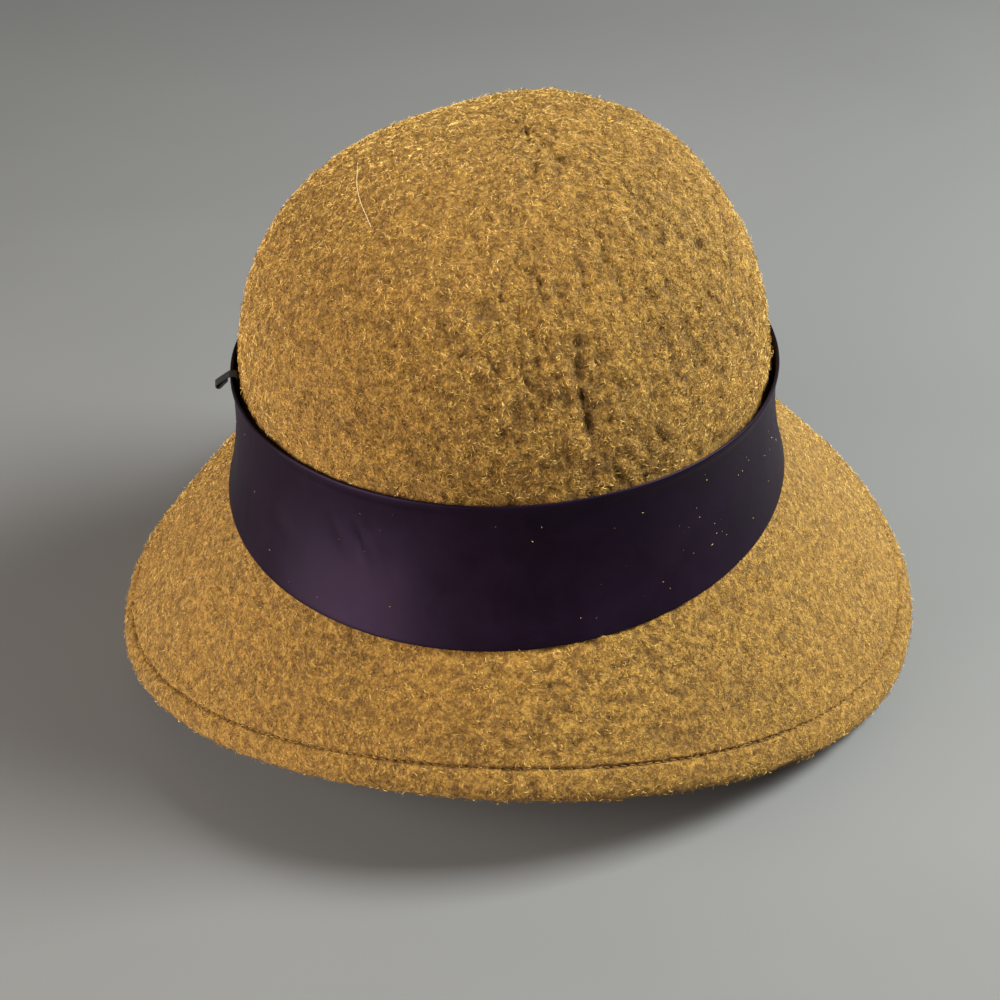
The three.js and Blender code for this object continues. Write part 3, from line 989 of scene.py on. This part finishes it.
def hairMaterial():
    material, tree, shader = newMaterial("paleHair", **{"Roughness": 0.5})
    shade = addMottle(tree, 120.0, 900.0)
    colour = blendColours(tree, shade.outputs["Mottle"], (0.72, 0.52, 0.24, 1), (0.92, 0.76, 0.46, 1))
    tree.links.new(colour, shader.inputs["Base Color"])
    return material


felt.data.materials.append(feltMaterial())
woolFuzz = fuzzMaterial()
for piece in (*fuzzPieces, lint):
    piece.data.materials.append(woolFuzz)
stitches.data.materials.append(threadMaterial())
band.data.materials.append(satinMaterial())
ribbon.data.materials.append(ribbonMaterial())
hair.data.materials.append(hairMaterial())
print("materials set")

# What each piece rides on and stands for
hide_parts("felt_body")
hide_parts("hat_band")
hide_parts("ribbon_loop")
for piece in (felt, *fuzzPieces, stitches, band, ribbon, hair, lint):
    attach(piece, "root")

# Camera at the view that the hat was fitted in, its frame 1000 pixels wide and high
photoView = {
    "azimuth": 190,
    "elevation": 34.4,
    "roll": -1.7,
    "distance": 0.766,
    "focalPixels": 2294,
    "framePixels": 1000,
    "aimPixel": (507, 458),
    "aim": (0, hatForm["headCentreY"], hatForm["footHeight"]),
    "sensor": 36,
}


def directionAt(azimuth, elevation):
    turn, rise = math.radians(azimuth), math.radians(elevation)
    return Vector((math.sin(turn) * math.cos(rise), -math.cos(turn) * math.cos(rise), math.sin(rise)))


def addCamera():
    view = photoView
    back = directionAt(view["azimuth"], view["elevation"])
    level = directionAt(view["azimuth"] + 90, 0)
    roll = Matrix.Rotation(math.radians(view["roll"]), 3, back)
    right = roll @ level
    up = roll @ back.cross(level)
    centre = view["framePixels"] / 2
    rightward = (view["aimPixel"][0] - centre) / view["focalPixels"]
    upward = (centre - view["aimPixel"][1]) / view["focalPixels"]
    look = (-back - right * rightward - up * upward).normalized()
    right = look.cross(up).normalized()
    up = right.cross(look)
    bpy.ops.object.camera_add()
    camera = bpy.context.object
    place = Vector(view["aim"]) + back * view["distance"]
    camera.matrix_world = Matrix.Translation(place) @ Matrix((right, up, -look)).transposed().to_4x4()
    camera.data.sensor_width = view["sensor"]
    camera.data.lens = view["sensor"] * view["focalPixels"] / view["framePixels"]
    camera.data.clip_start = 0.01
    bpy.context.scene.camera = camera


# Two softboxes at the hat's sides and a weak one over it, on a plain pale floor
softboxes = [
    {"name": "rightSoftbox", "azimuth": 282, "elevation": 42, "size": 0.45, "power": 28, "tint": (0.95, 1, 0.96)},
    {"name": "leftSoftbox", "azimuth": 128, "elevation": 9, "size": 0.9, "power": 28, "tint": (1, 0.92, 0.83)},
    {"name": "topSoftbox", "azimuth": 10, "elevation": 78, "size": 0.9, "power": 0.6, "tint": (1, 0.99, 0.95)},
]
roomLook = {
    "lightDistance": 1.0,
    "floorSize": 40,
    "floorDark": (0.15, 0.148, 0.148, 1),
    "floorPale": (0.165, 0.163, 0.163, 1),
    "ambient": 0.08,
}


def addSoftbox(box):
    towards = directionAt(box["azimuth"], box["elevation"])
    aim = Vector((0, hatForm["headCentreY"], 0.09))
    bpy.ops.object.light_add(type="AREA", location=aim + towards * roomLook["lightDistance"])
    light = bpy.context.object
    light.name = box["name"]
    light.rotation_euler = towards.to_track_quat("Z", "Y").to_euler()
    light.data.size = box["size"]
    light.data.energy = box["power"]
    light.data.color = box["tint"]


def addRoom():
    clearSelection()
    bpy.ops.mesh.primitive_plane_add(size=roomLook["floorSize"])
    floor = activePiece("floor")
    material, tree, shader = newMaterial("paleFloor", **{"Roughness": 0.85, "Specular IOR Level": 0.2})
    shade = addMottle(tree, 3.0, 160.0)
    colour = blendColours(tree, shade.outputs["Mottle"], roomLook["floorDark"], roomLook["floorPale"])
    tree.links.new(colour, shader.inputs["Base Color"])
    floor.data.materials.append(material)
    world = bpy.data.worlds.new("softRoom")
    world.use_nodes = True
    background = world.node_tree.nodes["Background"]
    background.inputs["Color"].default_value = (0.95, 0.97, 1, 1)
    background.inputs["Strength"].default_value = roomLook["ambient"]
    bpy.context.scene.world = world
    bpy.context.scene.view_settings.view_transform = "Standard"


addCamera()
for box in softboxes:
    addSoftbox(box)
addRoom()
print("camera and lights set")
